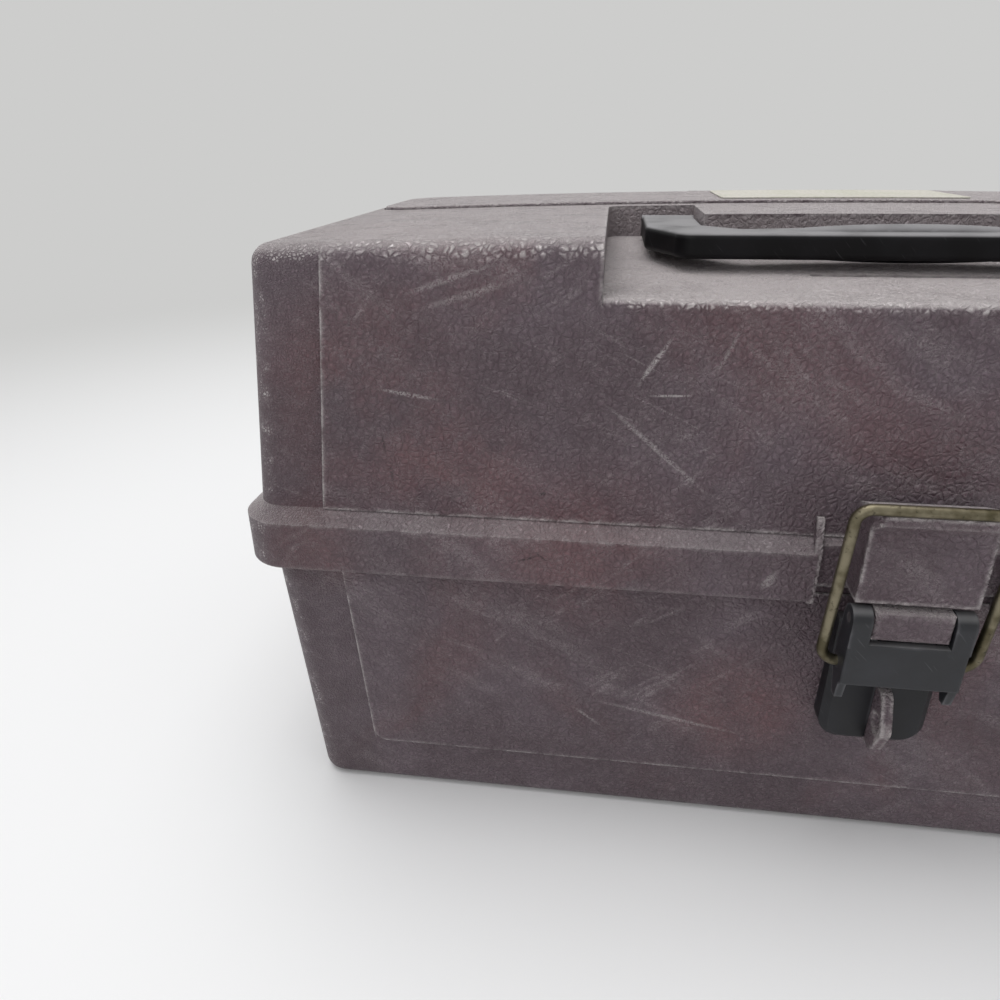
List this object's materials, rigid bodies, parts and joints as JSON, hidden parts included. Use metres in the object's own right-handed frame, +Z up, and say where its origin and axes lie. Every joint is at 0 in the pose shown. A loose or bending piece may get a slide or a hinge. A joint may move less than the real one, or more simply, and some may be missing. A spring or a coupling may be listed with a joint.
{
  "type": "tackle box",
  "caption": "Moulded tackle box with a rear-hinged lid, folding handle, wire bail latch, hinged top compartment and cantilever trays that rise with the lid.",
  "frame": {"origin": "on the floor, under the middle of the case", "axes": "+X to the right along the case's length, +Y to the rear hinge, +Z up; the latch faces -Y"},
  "size_m": [0.4016, 0.2248, 0.2001],
  "materials": {
    "case_plastic": "grained",
    "black_plastic": "satin",
    "tray_plastic": "satin",
    "wire": "dull plated",
    "steel": "satin",
    "arm_metal": "satin",
    "label": "matte"
  },
  "bodies": {
    "base": {"base_shell": "case_plastic", "hinge_pins": "steel", "latch_plate": "black_plastic", "latch_rivets": "steel", "padlock_lug": "case_plastic", "lever_pin": "steel", "arm_base_rivets": "steel"},
    "lid": {"lid_shell": "case_plastic", "handle_pins": "steel", "cover_hinge_pins": "steel", "lid_tray_pins": "steel"},
    "handle": {"handle": "black_plastic"},
    "top_cover": {"top_cover": "case_plastic", "cover_label": "label"},
    "latch_lever": {"latch_lever": "black_plastic"},
    "latch_bail": {"latch_bail": "wire"},
    "front_arms": {"front_arm_right": "arm_metal", "front_arm_left": "arm_metal"},
    "rear_arms": {"rear_arm_right": "arm_metal", "rear_arm_left": "arm_metal"},
    "upper_tray": {"upper_tray": "tray_plastic", "upper_tray_dividers": "tray_plastic", "upper_tray_rivets": "steel"},
    "lower_tray": {"lower_tray": "tray_plastic", "lower_tray_dividers": "tray_plastic", "lower_tray_rivets": "steel"}
  },
  "joints": [
    {"name": "lid_hinge", "type": "hinge", "parent": "base", "child": "lid", "pos_m": [0, 0.1072, 0.098], "axis": [-1, 0, 0], "range_deg": [0, 100]},
    {"name": "handle_hinge", "type": "hinge", "parent": "lid", "child": "handle", "pos_m": [0, 0.00342, 0.1917], "axis": [-1, 0, 0], "range_deg": [0, 95]},
    {"name": "cover_hinge", "type": "hinge", "parent": "lid", "child": "top_cover", "pos_m": [0, 0.08412, 0.1975], "axis": [-1, 0, 0], "range_deg": [0, 100]},
    {"name": "lever_hinge", "type": "hinge", "parent": "base", "child": "latch_lever", "pos_m": [0, -0.1085, 0.098], "axis": [-1, 0, 0], "range_deg": [0, 120]},
    {"name": "bail_hinge", "type": "hinge", "parent": "latch_lever", "child": "latch_bail", "pos_m": [0, -0.1061, 0.0814], "axis": [-1, 0, 0], "range_deg": [-150, 0]},
    {"name": "front_arm_hinge", "type": "hinge", "parent": "base", "child": "front_arms", "pos_m": [0, 0.0155, 0.085], "axis": [-1, 0, 0], "range_deg": [0, 100]},
    {"name": "rear_arm_hinge", "type": "hinge", "parent": "base", "child": "rear_arms", "pos_m": [0, 0.0515, 0.085], "axis": [-1, 0, 0], "range_deg": [0, 100]},
    {"name": "upper_tray_hinge", "type": "hinge", "parent": "front_arms", "child": "upper_tray", "pos_m": [0, -0.0715, 0.124], "axis": [-1, 0, 0], "range_deg": [-100, 0]},
    {"name": "lower_tray_hinge", "type": "hinge", "parent": "front_arms", "child": "lower_tray", "pos_m": [0, -0.028, 0.1045], "axis": [-1, 0, 0], "range_deg": [-100, 0]}
  ],
  "couplings": [
    {"joint": "bail_hinge", "follows": "lever_hinge", "ratio": -1.25},
    {"joint": "front_arm_hinge", "follows": "lid_hinge", "ratio": 1},
    {"joint": "rear_arm_hinge", "follows": "lid_hinge", "ratio": 1},
    {"joint": "upper_tray_hinge", "follows": "lid_hinge", "ratio": -1},
    {"joint": "lower_tray_hinge", "follows": "lid_hinge", "ratio": -1}
  ]
}
